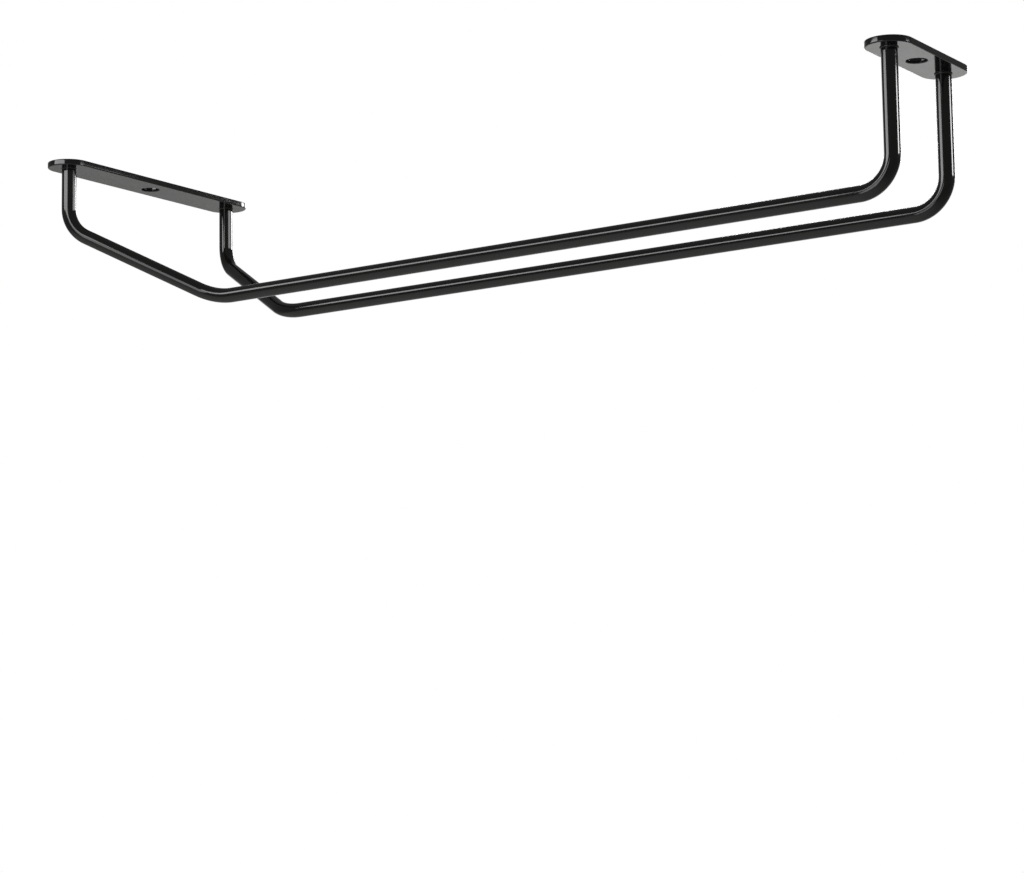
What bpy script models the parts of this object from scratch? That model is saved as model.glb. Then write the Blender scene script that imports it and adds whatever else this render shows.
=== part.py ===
"""Hanging wine glass rack: two bent wire rails butt-welded under two obround mounting plates.

Metres, +Z up to the shelf that the rack hangs from. The rails run along X, with the open mouth
at -X and the closed end at +X, and Y is across. Z = 0 is the mounting plane, the top of both plates.
The origin lies on the centre line of the front plate, on the flat just behind its screw hole.
"""

from math import acos, ceil, cos, pi, radians, sin, tan

import bmesh
import bpy
from mathutils import Vector

# Layout of the rack, between the centre lines of the wire
RACK_LENGTH = 0.327
MOUTH_SPREAD = 0.093
RAIL_SPACING = 0.0415
FLARE_LENGTH = 0.050
MOUTH_DROP = 0.0252
FRONT_RAIL_DROP = 0.0532
REAR_RAIL_DROP = 0.0482

# Wire and its bends, as radii of the centre line
WIRE_DIAMETER = 0.0055
MOUTH_BEND_RADIUS = 0.012
FLARE_BEND_RADIUS = 0.022
REAR_BEND_RADIUS = 0.012
BEND_STEP = radians(7.5)
WIRE_BEVEL_RESOLUTION = 10

# Mounting plates, with one plain screw hole each
PLATE_WIDTH = 0.016
PLATE_THICKNESS = 0.0022
PLATE_EDGE_ROUND = 0.0004
SCREW_HOLE_DIAMETER = 0.007
HOLE_LIP = 0.0004
PLATE_END_SEGMENTS = 20
EDGE_SEGMENTS = 2
HOLE_SEGMENTS = 32
CUT_OVERRUN = 0.001
RIM_ANGLE = radians(60)

# Fillet welds where the wire meets a plate
WELD_LEG = 0.0008
WELD_LAND = 0.0002
WELD_CROWN_SHARE = 0.18
WELD_ARC_SEGMENTS = 4
WELD_STEPS = 32

# Clearance that keeps touching pieces apart, and the distance at which a mesh's corners are one
JOINT_GAP = 0.0003
MERGE_DISTANCE = 0.00001

# Gloss black coat
COAT_COLOUR = (0.012, 0.011, 0.010, 1.0)
COAT_ROUGHNESS = 0.22
WELD_ROUGHNESS = 0.32
COAT_METALLIC = 0.0

# Places that follow from the sizes above
WIRE_RADIUS = WIRE_DIAMETER / 2
HOLE_MOUTH_RADIUS = SCREW_HOLE_DIAMETER / 2 + HOLE_LIP
PAD_OFFSET = (HOLE_MOUTH_RADIUS + PLATE_WIDTH / 2 - PLATE_EDGE_ROUND) / 2
FRONT_X = -PAD_OFFSET
REAR_X = FRONT_X + RACK_LENGTH
WIRE_TOP_Z = -PLATE_THICKNESS - JOINT_GAP
SIDES = {"left": 1, "right": -1}


def clear_scene():
    for obj in list(bpy.data.objects):
        bpy.data.objects.remove(obj, do_unlink=True)


def coat_material(name, roughness):
    material = bpy.data.materials.new(name)
    material.use_nodes = True
    shader = material.node_tree.nodes["Principled BSDF"]
    shader.inputs["Base Color"].default_value = COAT_COLOUR
    shader.inputs["Roughness"].default_value = roughness
    shader.inputs["Metallic"].default_value = COAT_METALLIC
    return material


def add_object(name, data, material=None):
    obj = bpy.data.objects.new(name, data)
    bpy.context.scene.collection.objects.link(obj)
    if material:
        data.materials.append(material)
    return obj


def bend_points(before, corner, after, radius):
    """Points of the arc that rounds a corner of the wire, from one tangent point to the other."""
    arriving = (corner - before).normalized()
    leaving = (after - corner).normalized()
    turn = acos(max(-1.0, min(1.0, arriving.dot(leaving))))
    setback = radius * tan(turn / 2)
    start = corner - arriving * setback
    inward = (leaving - arriving * arriving.dot(leaving)).normalized()
    centre = start + inward * radius
    steps = ceil(turn / BEND_STEP)
    angles = [turn * step / steps for step in range(steps + 1)]
    return [centre - inward * radius * cos(a) + arriving * radius * sin(a) for a in angles]


def rail_path(side):
    """Centre line of one rail: front stub, flare, straight run and rear leg."""
    mouth_y = side * MOUTH_SPREAD / 2
    rail_y = side * RAIL_SPACING / 2
    corners = [
        Vector((FRONT_X, mouth_y, WIRE_TOP_Z)),
        Vector((FRONT_X, mouth_y, -MOUTH_DROP)),
        Vector((FRONT_X + FLARE_LENGTH, rail_y, -FRONT_RAIL_DROP)),
        Vector((REAR_X, rail_y, -REAR_RAIL_DROP)),
        Vector((REAR_X, rail_y, WIRE_TOP_Z)),
    ]
    radii = [MOUTH_BEND_RADIUS, FLARE_BEND_RADIUS, REAR_BEND_RADIUS]
    points = [corners[0]]
    for index, radius in enumerate(radii, start=1):
        points += bend_points(corners[index - 1], corners[index], corners[index + 1], radius)
    points.append(corners[-1])
    return points


def add_rail(name, side):
    """One length of round wire, swept along its bent centre line and capped."""
    points = rail_path(side)
    curve = bpy.data.curves.new(name, "CURVE")
    curve.dimensions = "3D"
    curve.bevel_depth = WIRE_RADIUS
    curve.bevel_resolution = WIRE_BEVEL_RESOLUTION
    curve.use_fill_caps = True
    spline = curve.splines.new("POLY")
    spline.points.add(len(points) - 1)
    for spline_point, place in zip(spline.points, points):
        spline_point.co = (*place, 1.0)
    return add_object(name, curve, coat_material(name + "_coat", COAT_ROUGHNESS))


def obround_outline(length, width):
    """Outline of a plate in its own plane, long way along Y, with half-round ends."""
    radius = width / 2
    centre_y = length / 2 - radius
    outline = []
    for end in (1, -1):
        for step in range(PLATE_END_SEGMENTS + 1):
            angle = pi * step / PLATE_END_SEGMENTS
            outline.append((end * radius * cos(angle), end * (centre_y + radius * sin(angle))))
    return outline


def plate_mesh(name, length):
    """Flat obround blank, with its top at Z = 0 and its centre at the origin."""
    bm = bmesh.new()
    corners = [bm.verts.new((x, y, 0)) for x, y in obround_outline(length, PLATE_WIDTH)]
    top = bm.faces.new(corners)
    under = bmesh.ops.extrude_face_region(bm, geom=[top])["geom"]
    under_corners = [item for item in under if isinstance(item, bmesh.types.BMVert)]
    bmesh.ops.translate(bm, verts=under_corners, vec=(0, 0, -PLATE_THICKNESS))
    bmesh.ops.recalc_face_normals(bm, faces=bm.faces)
    mesh = bpy.data.meshes.new(name)
    bm.to_mesh(mesh)
    bm.free()
    return mesh


def turned_mesh(name, profile, steps):
    """Solid of revolution about Z from a closed (radius, height) profile, faces pointing out."""
    bm = bmesh.new()
    corners = [bm.verts.new((radius, 0, height)) for radius, height in profile]
    edges = [bm.edges.new((a, b)) for a, b in zip(corners, corners[1:] + corners[:1])]
    bmesh.ops.spin(bm, geom=corners + edges, axis=(0, 0, 1), cent=(0, 0, 0), angle=2 * pi,
                   steps=steps, use_merge=True, use_duplicate=False)
    bmesh.ops.remove_doubles(bm, verts=bm.verts, dist=MERGE_DISTANCE)
    loose = [edge for edge in bm.edges if not edge.link_faces]
    bmesh.ops.delete(bm, geom=loose, context="EDGES")
    bmesh.ops.recalc_face_normals(bm, faces=bm.faces)
    mesh = bpy.data.meshes.new(name)
    bm.to_mesh(mesh)
    bm.free()
    return mesh


def hole_profile():
    """Half section of the screw hole's cutter: a straight bore that opens out at both faces."""
    bore = SCREW_HOLE_DIAMETER / 2
    mouth = HOLE_MOUTH_RADIUS + CUT_OVERRUN
    return [
        (0, CUT_OVERRUN),
        (mouth, CUT_OVERRUN),
        (bore, -HOLE_LIP),
        (bore, HOLE_LIP - PLATE_THICKNESS),
        (mouth, -PLATE_THICKNESS - CUT_OVERRUN),
        (0, -PLATE_THICKNESS - CUT_OVERRUN),
    ]


def add_hole_cutter(name, x):
    cutter = add_object(name, turned_mesh(name, hole_profile(), HOLE_SEGMENTS))
    cutter.location = (x, 0, 0)
    cutter.hide_render = True
    cutter.display_type = "WIRE"
    return cutter


def add_plate(name, x, wire_spacing):
    """Obround plate whose round ends are centred on the two wires that are welded under it."""
    length = wire_spacing + PLATE_WIDTH
    plate = add_object(name, plate_mesh(name, length), coat_material(name + "_coat", COAT_ROUGHNESS))
    plate.location = (x, 0, 0)
    rounding = plate.modifiers.new("eased_edges", "BEVEL")
    rounding.width = PLATE_EDGE_ROUND
    rounding.segments = EDGE_SEGMENTS
    rounding.limit_method = "ANGLE"
    rounding.angle_limit = RIM_ANGLE
    hole = plate.modifiers.new("screw_hole", "BOOLEAN")
    hole.operation = "DIFFERENCE"
    hole.solver = "EXACT"
    hole.object = add_hole_cutter(name + "_hole", x)
    return plate


def weld_profile():
    """Half section of a fillet weld: flat against plate and wire, with a slightly full face."""
    inner = WIRE_RADIUS + JOINT_GAP
    outer = inner + WELD_LEG
    crown = WELD_LEG * WELD_CROWN_SHARE
    high = (outer, WIRE_TOP_Z - WELD_LAND)
    low = (inner + WELD_LAND, WIRE_TOP_Z - WELD_LEG)
    face = []
    for step in range(WELD_ARC_SEGMENTS + 1):
        share = step / WELD_ARC_SEGMENTS
        swell = crown * sin(pi * share)
        radius = high[0] + (low[0] - high[0]) * share + swell
        height = high[1] + (low[1] - high[1]) * share - swell
        face.append((radius, height))
    return [(inner, WIRE_TOP_Z), (outer, WIRE_TOP_Z), *face, (inner, WIRE_TOP_Z - WELD_LEG)]


def add_weld(name, x, y):
    mesh = turned_mesh(name, weld_profile(), WELD_STEPS)
    weld = add_object(name, mesh, coat_material(name + "_coat", WELD_ROUGHNESS))
    weld.location = (x, y, 0)
    mesh.shade_smooth()
    mesh.set_sharp_from_angle(angle=RIM_ANGLE)
    return weld


def build():
    clear_scene()
    add_plate("front_plate", FRONT_X, MOUTH_SPREAD)
    add_plate("rear_plate", REAR_X, RAIL_SPACING)
    for side_name, side in SIDES.items():
        add_rail("rail_" + side_name, side)
        add_weld("weld_front_" + side_name, FRONT_X, side * MOUTH_SPREAD / 2)
        add_weld("weld_rear_" + side_name, REAR_X, side * RAIL_SPACING / 2)


build()
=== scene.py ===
"""Looks of the hanging wine glass rack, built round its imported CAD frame.

Metres, in the CAD's own frame: +Z up to the shelf, the open mouth at -X and the closed end at +X.
Each CAD node is replaced by a finer piece of the same shape and place: two swept wires, two plates
with eased rims and four small fillet welds. All are under gloss black enamel, which is duller on the
welds and where a plate lies against the shelf.
"""

from math import acos, ceil, cos, pi, radians, sin, tan

import bmesh
import bpy
from mathutils import Matrix, Vector, noise


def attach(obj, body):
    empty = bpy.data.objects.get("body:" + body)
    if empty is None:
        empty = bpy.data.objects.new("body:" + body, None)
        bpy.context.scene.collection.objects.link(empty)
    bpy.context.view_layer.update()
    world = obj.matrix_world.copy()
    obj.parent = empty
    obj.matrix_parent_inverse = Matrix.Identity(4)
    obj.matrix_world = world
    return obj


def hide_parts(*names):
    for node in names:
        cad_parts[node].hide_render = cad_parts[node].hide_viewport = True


# Rack, between the centre lines of the wire
FRONT_X = -0.00575
REAR_X = 0.32125
MOUTH_SPREAD = 0.093
RAIL_SPACING = 0.0415
FLARE_LENGTH = 0.050
MOUTH_DROP = 0.0252
FRONT_RAIL_DROP = 0.0532
REAR_RAIL_DROP = 0.0482
SIDES = {"left": 1, "right": -1}

# Wire, slightly under its nominal size so that a finer tube stays inside the CAD's facets
WIRE_RADIUS = 0.002735
WIRE_SIDES = 64
WIRE_SHARP_ANGLE = radians(60)

# Bends, as radii of the centre line
MOUTH_BEND_RADIUS = 0.012
FLARE_BEND_RADIUS = 0.022
REAR_BEND_RADIUS = 0.012
BEND_STEP = radians(2.5)

# Shares of its radius that the wire loses in the plane of a bend and gains across it
FLATTENING_SHARE = 0.022
SPREADING_SHARE = 0.010

# Plates, with one screw hole each
PLATE_WIDTH = 0.016
PLATE_THICKNESS = 0.0022
EDGE_ROUND = 0.0004
HOLE_RADIUS = 0.0035
HOLE_LIP = 0.0004
END_STEPS = 48
ROUND_STEPS = 5
HOLE_STEPS = 72
FLAT_FACE_WEIGHT = 100

# Welds, as (width, height) of the fillet at each end of the rack
WELD_SIZE = {"front": (0.00018, 0.00028), "rear": (0.00036, 0.00042)}
WELD_CROWN_SHARE = 0.16
WELD_STEPS = 120
WELD_FACE_STEPS = 7

# How far a weld runs into wire and plate, and the height inside a plate where wires and welds end
WELD_SINK = 0.00008
SUNK_TOP = WELD_SINK - PLATE_THICKNESS

# Ripples round a weld, which draw together and apart by a sway in radians
RIPPLE_COUNT = 22
RIPPLE_HEIGHT = 0.00003
RIPPLE_SWAY = 0.8

# Slow wander of a weld's width and, by a share, of its height, read from noise on a ring
WANDER = 0.00010
WANDER_HEIGHT_SHARE = 0.8
NOISE_RING_RADIUS = 1.3
SEED_PER_SIDE = 3.1
SEED_PER_METRE = 7.7

# Enamel, from its deeper to its thinner places
COAT_DEEP = (0.0055, 0.0051, 0.0047, 1.0)
COAT_THIN = (0.0095, 0.0088, 0.0081, 1.0)
COAT_IOR = 1.5

# Range of roughness of wires and plates and of the welds, and how far orange peel and waves stand up
COAT_FINISH = {"gloss": (0.07, 0.13), "peel_height": 0.0000022, "wave_height": 0.000008}
WELD_FINISH = {"gloss": (0.12, 0.22), "peel_height": 0.000005, "wave_height": 0.00002}

# Noise of the enamel, as (scale, detail, roughness), and the part of its range that counts
CLOUD_NOISE = (70, 3, 0.5)
CLOUD_BAND = (0.35, 0.7)
THIN_SHARES = (0.0, 0.7)
HAZE_NOISE = (210, 4, 0.6)
HAZE_BAND = (0.3, 0.7)
PEEL_NOISE = (650, 1, 0.5)
WAVE_NOISE = (90, 2, 0.5)

# Top faces against the shelf, where the enamel turns dull over a band of height
SEAT_BAND = (-0.00035, -0.0001)
SEAT_ROUGHNESS = 0.62

# Sockets of a node that mixes two colours
MIX_FACTOR = 0
MIX_FIRST = 6
MIX_SECOND = 7
MIX_RESULT = 2

# Camera, with its focal length in pixels of a 1024 x 873 image
IMAGE_WIDTH = 1024
FOCAL_PIXELS = 2735.8
SENSOR_WIDTH = 36.0
CLIP_START = 0.05
CLIP_END = 50.0
CAMERA_PLACE = (0.6857, -0.8017, -0.2312)
CAMERA_YAW = radians(33.184)
CAMERA_PITCH = radians(7.047)
CAMERA_ROLL = radians(-0.859)

# Grey room, and its white wall: angles to either side and up from level where it starts and is full
ROOM_GREY = (0.16, 0.16, 0.16, 1.0)
WALL_WHITE = (1.0, 1.0, 1.0, 1.0)
WALL_SIDE_START = radians(36)
WALL_SIDE_FULL = radians(12)
WALL_TOP_START = radians(27)
WALL_TOP_FULL = radians(18)

# Floor
FLOOR_X = 0.15
FLOOR_Z = -0.75
FLOOR_RADIUS = 8.0
FLOOR_SIDES = 96
FLOOR_FADE = (3.9, 7.0)
FLOOR_COLOUR = (0.80, 0.80, 0.79, 1.0)
FLOOR_ROUGHNESS = 0.9

# Power in watts of a square metre of lamp whose face is as bright as white
LAMP_POWER = 4

# Lamps, as (place, target, (width, height), brightness of the face, turn about the line to the target)
LAMPS = {
    "left_softbox": ((-0.024, -0.3175, 0.074), (0.57, 0.4865, 0.074), (0.325, 0.098), 4.6, 0),
    "front_card": ((0.12, -0.80, -0.10), (0.02, -0.035, -0.10), (0.30, 0.36), 2.2, 0),
    "stub_card": ((0.17, 0.080, 0.028), (FRONT_X, 0.080, 0.028), (0.16, 0.027), 3.6, radians(5)),
    "mouth_card": ((0.17, 0.415, 0.081), (FRONT_X, 0.415, 0.081), (0.27, 0.052), 20.0, radians(11)),
    "right_strip": ((0.856, 0.272, 0.094), (REAR_X, 0, 0.094), (0.20, 0.100), 13.0, 0),
    "floor_wash": ((-0.45, -0.85, -0.25), (-0.45, -0.85, FLOOR_Z), (2.0, 2.0), 0.48, 0),
    "floor_light": ((-0.70, 2.70, 0.65), (-0.90, 2.60, FLOOR_Z), (1.0, 1.0), 6.4, 0),
}


# Objects and meshes

def add_object(name, data, material=None):
    obj = bpy.data.objects.new(name, data)
    bpy.context.scene.collection.objects.link(obj)
    if material:
        data.materials.append(material)
    return obj


def finish_mesh(name, bm):
    """Mesh from bm, with its faces pointing out and shaded smooth."""
    bmesh.ops.recalc_face_normals(bm, faces=bm.faces)
    mesh = bpy.data.meshes.new(name)
    bm.to_mesh(mesh)
    bm.free()
    mesh.shade_smooth()
    return mesh


def add_skin(bm, outlines, closed=False):
    """Quads from each closed outline to the next, and from the last to the first if closed.

    Returns the corners of the first and of the last outline.
    """
    loops = [[bm.verts.new(corner) for corner in outline] for outline in outlines]
    following = loops[1:] + loops[:1] if closed else loops[1:]
    for near, far in zip(loops, following):
        for corners in zip(near, near[1:] + near[:1], far[1:] + far[:1], far):
            bm.faces.new(corners)
    return loops[0], loops[-1]


def loop_edges(bm, loop):
    return [bm.edges.get(pair) for pair in zip(loop, loop[1:] + loop[:1])]


# Nodes

def node(tree, kind, **settings):
    made = tree.nodes.new(kind)
    for key, value in settings.items():
        setattr(made, key, value)
    return made


def operation(tree, kind, name, *values):
    """Node of Math or Vector Math, fed with sockets or with constants."""
    made = node(tree, kind, operation=name)
    for socket, value in zip(made.inputs, values):
        if isinstance(value, bpy.types.NodeSocket):
            tree.links.new(value, socket)
        else:
            socket.default_value = value
    return made


def height_of(tree, vector):
    made = node(tree, "ShaderNodeSeparateXYZ")
    tree.links.new(vector, made.inputs[0])
    return made.outputs["Z"]


def noise_layer(tree, place, layer):
    scale, detail, roughness = layer
    made = node(tree, "ShaderNodeTexNoise")
    made.inputs["Scale"].default_value = scale
    made.inputs["Detail"].default_value = detail
    made.inputs["Roughness"].default_value = roughness
    tree.links.new(place, made.inputs["Vector"])
    return made.outputs["Fac"]


def ranged(tree, value, source, target=(0.0, 1.0), curve="LINEAR"):
    """value, taken from the range source to the range target and no further."""
    made = node(tree, "ShaderNodeMapRange", interpolation_type=curve, clamp=True)
    tree.links.new(value, made.inputs["Value"])
    made.inputs["From Min"].default_value, made.inputs["From Max"].default_value = source
    made.inputs["To Min"].default_value, made.inputs["To Max"].default_value = target
    return made.outputs["Result"]


def mixed_colour(tree, share, first, second):
    """first where share is 0, and second where it is 1."""
    made = node(tree, "ShaderNodeMix", data_type="RGBA")
    made.inputs[MIX_FIRST].default_value = first
    made.inputs[MIX_SECOND].default_value = second
    tree.links.new(share, made.inputs[MIX_FACTOR])
    return made.outputs[MIX_RESULT]


def bump(tree, height, distance, normal=None):
    """Normal that follows height, which stands up by distance, on top of another normal."""
    made = node(tree, "ShaderNodeBump")
    made.inputs["Strength"].default_value = 1.0
    made.inputs["Distance"].default_value = distance
    tree.links.new(height, made.inputs["Height"])
    if normal is not None:
        tree.links.new(normal, made.inputs["Normal"])
    return made.outputs["Normal"]


# Materials

def new_material(name):
    """Material with its node tree, its Principled shader and the place on the object."""
    material = bpy.data.materials.new(name)
    material.use_nodes = True
    tree = material.node_tree
    place = node(tree, "ShaderNodeTexCoord").outputs["Object"]
    return material, tree, tree.nodes["Principled BSDF"], place


def enamel(name, gloss, peel_height, wave_height):
    """Baked gloss enamel of uneven depth and gloss, with orange peel about 1.5 mm across.

    gloss is its range of roughness, and the heights say how far peel and waves stand up. Faces that
    lie against the shelf are dull.
    """
    material, tree, shader, place = new_material(name)
    shader.inputs["IOR"].default_value = COAT_IOR
    shader.inputs["Metallic"].default_value = 0.0

    thinness = ranged(tree, noise_layer(tree, place, CLOUD_NOISE), CLOUD_BAND, THIN_SHARES)
    tree.links.new(mixed_colour(tree, thinness, COAT_DEEP, COAT_THIN), shader.inputs["Base Color"])

    haze = ranged(tree, noise_layer(tree, place, HAZE_NOISE), HAZE_BAND, gloss)
    seat = ranged(tree, height_of(tree, place), SEAT_BAND, (0.0, SEAT_ROUGHNESS))
    roughness = operation(tree, "ShaderNodeMath", "MAXIMUM", haze, seat)
    tree.links.new(roughness.outputs["Value"], shader.inputs["Roughness"])

    waves = bump(tree, noise_layer(tree, place, WAVE_NOISE), wave_height)
    peel = bump(tree, noise_layer(tree, place, PEEL_NOISE), peel_height, waves)
    tree.links.new(peel, shader.inputs["Normal"])
    return material


def floor_material():
    """Pale matt floor that fades out into the room far from the rack."""
    material, tree, shader, place = new_material("pale_floor")
    shader.inputs["Base Color"].default_value = FLOOR_COLOUR
    shader.inputs["Roughness"].default_value = FLOOR_ROUGHNESS
    distance = operation(tree, "ShaderNodeVectorMath", "LENGTH", place).outputs["Value"]
    clear = node(tree, "ShaderNodeBsdfTransparent")
    mixed = node(tree, "ShaderNodeMixShader")
    tree.links.new(ranged(tree, distance, FLOOR_FADE, curve="SMOOTHSTEP"), mixed.inputs[0])
    tree.links.new(shader.outputs[0], mixed.inputs[1])
    tree.links.new(clear.outputs[0], mixed.inputs[2])
    tree.links.new(mixed.outputs[0], tree.nodes["Material Output"].inputs["Surface"])
    return material


# Wires

def bend_points(before, corner, after, radius):
    """(place, direction to the bend's centre, share of bending) round a corner of the wire.

    The share is 0 at both ends of the bend and 1 in its middle.
    """
    arriving = (corner - before).normalized()
    leaving = (after - corner).normalized()
    turn = acos(max(-1.0, min(1.0, arriving.dot(leaving))))
    start = corner - arriving * radius * tan(turn / 2)
    inward = (leaving - arriving * arriving.dot(leaving)).normalized()
    centre = start + inward * radius
    steps = ceil(turn / BEND_STEP)
    points = []
    for step in range(steps + 1):
        a = turn * step / steps
        place = centre - inward * radius * cos(a) + arriving * radius * sin(a)
        toward = (centre - place).normalized()
        points.append((place, toward, sin(pi * step / steps)))
    return points


def wire_path(side):
    """(place, direction to the bend's centre or None, share of bending) along one wire."""
    mouth_y = side * MOUTH_SPREAD / 2
    rail_y = side * RAIL_SPACING / 2
    corners = [
        Vector((FRONT_X, mouth_y, SUNK_TOP)),
        Vector((FRONT_X, mouth_y, -MOUTH_DROP)),
        Vector((FRONT_X + FLARE_LENGTH, rail_y, -FRONT_RAIL_DROP)),
        Vector((REAR_X, rail_y, -REAR_RAIL_DROP)),
        Vector((REAR_X, rail_y, SUNK_TOP)),
    ]
    radii = [MOUTH_BEND_RADIUS, FLARE_BEND_RADIUS, REAR_BEND_RADIUS]
    path = [(corners[0], None, 0.0)]
    for index, radius in enumerate(radii, start=1):
        path += bend_points(corners[index - 1], corners[index], corners[index + 1], radius)
    path.append((corners[-1], None, 0.0))
    return path


def directions(places):
    """Direction of the wire at each place, halfway between the two stretches that meet there."""
    stretches = [(after - before).normalized() for before, after in zip(places, places[1:])]
    halfway = [(first + second).normalized() for first, second in zip(stretches, stretches[1:])]
    return [stretches[0], *halfway, stretches[-1]]


def wire_outline(place, toward, bent, across, up):
    """Outline of the wire at one place, a little flattened in the plane of its bend."""
    outline = []
    for step in range(WIRE_SIDES):
        a = 2 * pi * step / WIRE_SIDES
        spoke = across * cos(a) + up * sin(a)
        radius = WIRE_RADIUS
        if toward is not None:
            share = spoke.dot(toward) ** 2
            radius *= 1 - bent * (FLATTENING_SHARE * share - SPREADING_SHARE * (1 - share))
        outline.append(place + spoke * radius)
    return outline


def add_wire(name, side, material):
    """Round wire swept along its bends, with closed ends."""
    path = wire_path(side)
    across = Vector((1, 0, 0))
    outlines = []
    for (place, toward, bent), along in zip(path, directions([place for place, _, _ in path])):
        across = (across - along * across.dot(along)).normalized()
        outlines.append(wire_outline(place, toward, bent, across, along.cross(across)))
    bm = bmesh.new()
    for end in add_skin(bm, outlines):
        bm.faces.new(end)
    wire = add_object(name, finish_mesh(name, bm), material)
    wire.data.set_sharp_from_angle(angle=WIRE_SHARP_ANGLE)
    return wire


# Plates

def obround(length, inset, x, z):
    """Corners of a plate's outline, drawn in by inset."""
    centre_y = (length - PLATE_WIDTH) / 2
    radius = PLATE_WIDTH / 2 - inset
    corners = []
    for end in (1, -1):
        for step in range(END_STEPS + 1):
            a = pi * step / END_STEPS
            corners.append((x + end * radius * cos(a), end * (centre_y + radius * sin(a)), z))
    return corners


def hole_ring(grow, x, z):
    """Corners of a plate's hole, made wider by grow."""
    radius = HOLE_RADIUS + grow
    angles = [2 * pi * step / HOLE_STEPS for step in range(HOLE_STEPS)]
    return [(x + radius * cos(a), radius * sin(a), z) for a in angles]


def rounding(depth):
    """(inset, height) down one side of a plate, round at the top and the bottom."""
    arc = [pi / 2 * step / ROUND_STEPS for step in range(ROUND_STEPS + 1)]
    upper = [(depth * (1 - sin(a)), -depth * (1 - cos(a))) for a in arc]
    lower = [(inset, -PLATE_THICKNESS - height) for inset, height in reversed(upper)]
    return upper + lower


def add_plate(name, x, wire_spacing, material):
    """Obround plate with eased edges and one plain screw hole with a rounded lip."""
    length = wire_spacing + PLATE_WIDTH
    bm = bmesh.new()
    rim = add_skin(bm, [obround(length, inset, x, z) for inset, z in rounding(EDGE_ROUND)])
    hole = add_skin(bm, [hole_ring(inset, x, z) for inset, z in rounding(HOLE_LIP)])
    for outer, inner in zip(rim, hole):
        edges = loop_edges(bm, outer) + loop_edges(bm, inner)
        bmesh.ops.triangle_fill(bm, edges=edges, use_beauty=True)
    plate = add_object(name, finish_mesh(name, bm), material)
    weighted = plate.modifiers.new("flat_faces", "WEIGHTED_NORMAL")
    weighted.weight = FLAT_FACE_WEIGHT
    weighted.keep_sharp = True
    return plate


# Welds

def weld_section(leg, drop, crown):
    """(radius, height) round the section of a weld, sunk into wire and plate, with a full face."""
    section = [(WIRE_RADIUS - WELD_SINK, SUNK_TOP), (WIRE_RADIUS + leg, SUNK_TOP)]
    for step in range(WELD_FACE_STEPS + 1):
        share = step / WELD_FACE_STEPS
        swell = crown * sin(pi * share)
        radius = WIRE_RADIUS + leg * (1 - share) + swell
        height = -PLATE_THICKNESS - drop * share - swell
        section.append((radius, height))
    section.append((WIRE_RADIUS - WELD_SINK, -PLATE_THICKNESS - drop - WELD_SINK))
    return section


def add_weld(name, x, y, size, seed, material):
    """Small fillet all round the wire, slightly full, rippled and uneven."""
    width, height = size
    outlines = []
    for step in range(WELD_STEPS):
        a = 2 * pi * step / WELD_STEPS
        spot = Vector((NOISE_RING_RADIUS * cos(a), NOISE_RING_RADIUS * sin(a), seed))
        drift = noise.noise(spot) * WANDER
        sway = RIPPLE_SWAY * sin(2 * a + seed)
        ripple = abs(sin(a * RIPPLE_COUNT / 2 + sway)) * RIPPLE_HEIGHT
        leg = width + drift + ripple
        drop = height + WANDER_HEIGHT_SHARE * drift + ripple
        section = weld_section(leg, drop, WELD_CROWN_SHARE * leg + ripple)
        outlines.append([(x + r * cos(a), y + r * sin(a), z) for r, z in section])
    bm = bmesh.new()
    add_skin(bm, outlines, closed=True)
    return add_object(name, finish_mesh(name, bm), material)


# Studio

def add_camera():
    """Camera turned by its yaw and pitch, then rolled about its view."""
    forward = Vector((-sin(CAMERA_YAW) * cos(CAMERA_PITCH),
                      cos(CAMERA_YAW) * cos(CAMERA_PITCH),
                      sin(CAMERA_PITCH)))
    level = Vector((cos(CAMERA_YAW), sin(CAMERA_YAW), 0))
    upright = level.cross(forward)
    right = level * cos(CAMERA_ROLL) + upright * sin(CAMERA_ROLL)
    up = upright * cos(CAMERA_ROLL) - level * sin(CAMERA_ROLL)
    data = bpy.data.cameras.new("camera")
    data.sensor_fit = "HORIZONTAL"
    data.sensor_width = SENSOR_WIDTH
    data.lens = FOCAL_PIXELS / IMAGE_WIDTH * SENSOR_WIDTH
    data.clip_start = CLIP_START
    data.clip_end = CLIP_END
    camera = add_object("camera", data)
    turn = Matrix((right, up, -forward)).transposed().to_4x4()
    camera.matrix_world = Matrix.Translation(CAMERA_PLACE) @ turn
    bpy.context.scene.camera = camera


def add_world():
    """Even grey room with a white wall behind the rack, as wide and high as the camera needs."""
    world = bpy.data.worlds.new("room")
    world.use_nodes = True
    bpy.context.scene.world = world
    tree = world.node_tree
    direction = node(tree, "ShaderNodeTexCoord").outputs["Generated"]

    level = operation(tree, "ShaderNodeVectorMath", "MULTIPLY", direction, (1, 1, 0))
    heading = operation(tree, "ShaderNodeVectorMath", "NORMALIZE", level.outputs["Vector"])
    middle = (-sin(CAMERA_YAW), cos(CAMERA_YAW), 0)
    facing = operation(tree, "ShaderNodeVectorMath", "DOT_PRODUCT", heading.outputs["Vector"], middle)
    sides = ranged(tree, facing.outputs["Value"], (cos(WALL_SIDE_START), cos(WALL_SIDE_FULL)),
                   curve="SMOOTHSTEP")
    top = ranged(tree, height_of(tree, direction), (sin(WALL_TOP_START), sin(WALL_TOP_FULL)),
                 curve="SMOOTHSTEP")
    wall = operation(tree, "ShaderNodeMath", "MULTIPLY", sides, top)
    colour = mixed_colour(tree, wall.outputs["Value"], ROOM_GREY, WALL_WHITE)
    tree.links.new(colour, tree.nodes["Background"].inputs["Color"])


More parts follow.
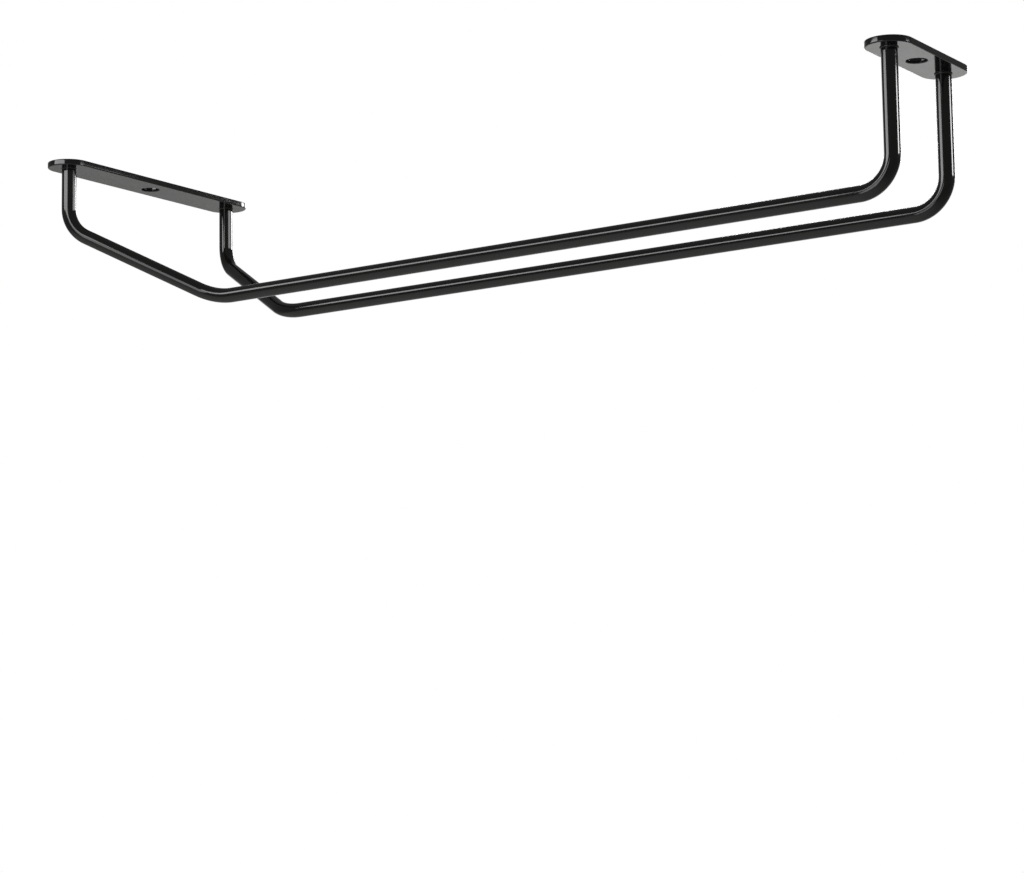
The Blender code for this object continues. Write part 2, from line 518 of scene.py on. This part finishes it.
def add_floor():
    bm = bmesh.new()
    bmesh.ops.create_circle(bm, cap_ends=True, segments=FLOOR_SIDES, radius=FLOOR_RADIUS)
    floor = add_object("floor", finish_mesh("floor", bm), floor_material())
    floor.location = (FLOOR_X, 0, FLOOR_Z)


def add_lamp(name, place, target, size, brightness, roll):
    """Soft box out of the camera's sight, whose face has the given brightness, where 1 is white."""
    data = bpy.data.lights.new(name, "AREA")
    data.shape = "RECTANGLE"
    data.size, data.size_y = size
    data.energy = LAMP_POWER * size[0] * size[1] * brightness
    lamp = add_object(name, data)
    lamp.location = place
    aim = Vector(target) - Vector(place)
    lamp.rotation_euler = aim.to_track_quat("-Z", "Y").to_euler()
    lamp.rotation_euler.rotate_axis("Z", roll)
    lamp.visible_camera = False


def add_studio():
    add_world()
    add_floor()
    for name, settings in LAMPS.items():
        add_lamp(name, *settings)


# Assembly

def dress(piece, node_name):
    """Put a piece on the rack's one body, in place of a CAD node."""
    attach(piece, "root")
    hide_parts(node_name)


def build_rack():
    coat = enamel("gloss_black_enamel", **COAT_FINISH)
    bead_coat = enamel("weld_enamel", **WELD_FINISH)
    for end, x, spacing in (("front", FRONT_X, MOUTH_SPREAD), ("rear", REAR_X, RAIL_SPACING)):
        plate = add_plate(end + "_mounting_plate", x, spacing, coat)
        dress(plate, end + "_plate")
        for side_name, side in SIDES.items():
            seed = SEED_PER_SIDE * side + SEED_PER_METRE * x
            bead = add_weld(f"bead_{end}_{side_name}", x, side * spacing / 2, WELD_SIZE[end], seed,
                            bead_coat)
            dress(bead, f"weld_{end}_{side_name}")
    for side_name, side in SIDES.items():
        dress(add_wire("wire_" + side_name, side, coat), "rail_" + side_name)


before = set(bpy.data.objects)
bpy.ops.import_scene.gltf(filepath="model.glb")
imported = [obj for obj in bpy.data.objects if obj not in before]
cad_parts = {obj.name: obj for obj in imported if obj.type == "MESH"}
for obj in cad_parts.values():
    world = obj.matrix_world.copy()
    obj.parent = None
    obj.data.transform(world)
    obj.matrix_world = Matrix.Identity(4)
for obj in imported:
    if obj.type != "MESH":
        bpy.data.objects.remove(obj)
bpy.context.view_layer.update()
scene = bpy.context.scene
scene.view_settings.view_transform = "Standard"
build_rack()
add_studio()
add_camera()
